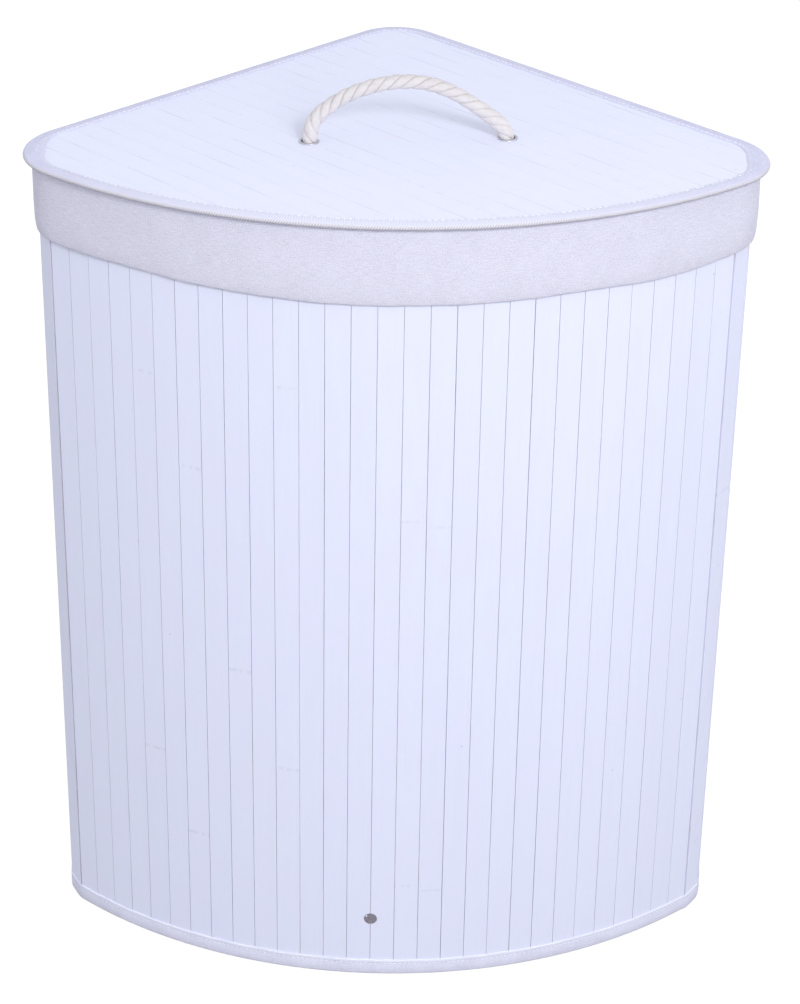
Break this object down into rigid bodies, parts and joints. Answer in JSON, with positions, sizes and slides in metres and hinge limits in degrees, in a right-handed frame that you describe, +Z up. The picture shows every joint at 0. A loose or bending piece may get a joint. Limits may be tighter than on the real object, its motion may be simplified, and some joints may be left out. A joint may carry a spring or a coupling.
{
  "type": "laundry hamper",
  "caption": "Corner laundry hamper with a white slatted wall, a cloth liner folded over its rim and a slatted lift-off lid with a rope handle.",
  "frame": {"origin": "middle of the hamper's bounding box in plan, at floor level", "axes": "+Z up, the curved front faces -Y, the rounded back corner points to +Y, +X is the viewer's right"},
  "size_m": [0.5146, 0.3914, 0.6637],
  "materials": {
    "painted_slats": "thin white paint on bamboo slats, satin",
    "backing_cloth": "plain woven backing cloth",
    "binding_tape": "ribbed woven tape with a stitch line",
    "liner_cloth": "linen-like plain weave",
    "cotton_rope": "three-strand cotton rope",
    "hoop_wire": "coated steel wire",
    "eyelet_nickel": "bright nickel plate",
    "rivet_steel": "dull grey steel"
  },
  "bodies": {
    "basket": {"front_slats": "painted_slats", "right_corner_slats": "painted_slats", "left_corner_slats": "painted_slats", "right_back_slats": "painted_slats", "left_back_slats": "painted_slats", "back_corner_slats": "painted_slats", "wall_backing": "backing_cloth", "rim_wire": "hoop_wire", "rim_binding": "binding_tape", "foot_binding": "binding_tape", "base_slats": "painted_slats", "base_backing": "backing_cloth", "front_rivet": "rivet_steel", "rivet_washer": "rivet_steel", "liner_cuff": "liner_cloth", "liner_bag": "liner_cloth"},
    "lid": {"lid_slats": "painted_slats", "lid_backing": "backing_cloth", "lid_wire": "hoop_wire", "lid_binding": "binding_tape", "eyelets": "eyelet_nickel", "eyelet_washers": "eyelet_nickel", "rope_handle": "cotton_rope", "rope_knots": "cotton_rope"}
  },
  "joints": [
    {"name": "lid_lift", "type": "slide", "parent": "basket", "child": "lid", "axis": [0, 0, 1], "range_m": [0, 0.35]}
  ]
}
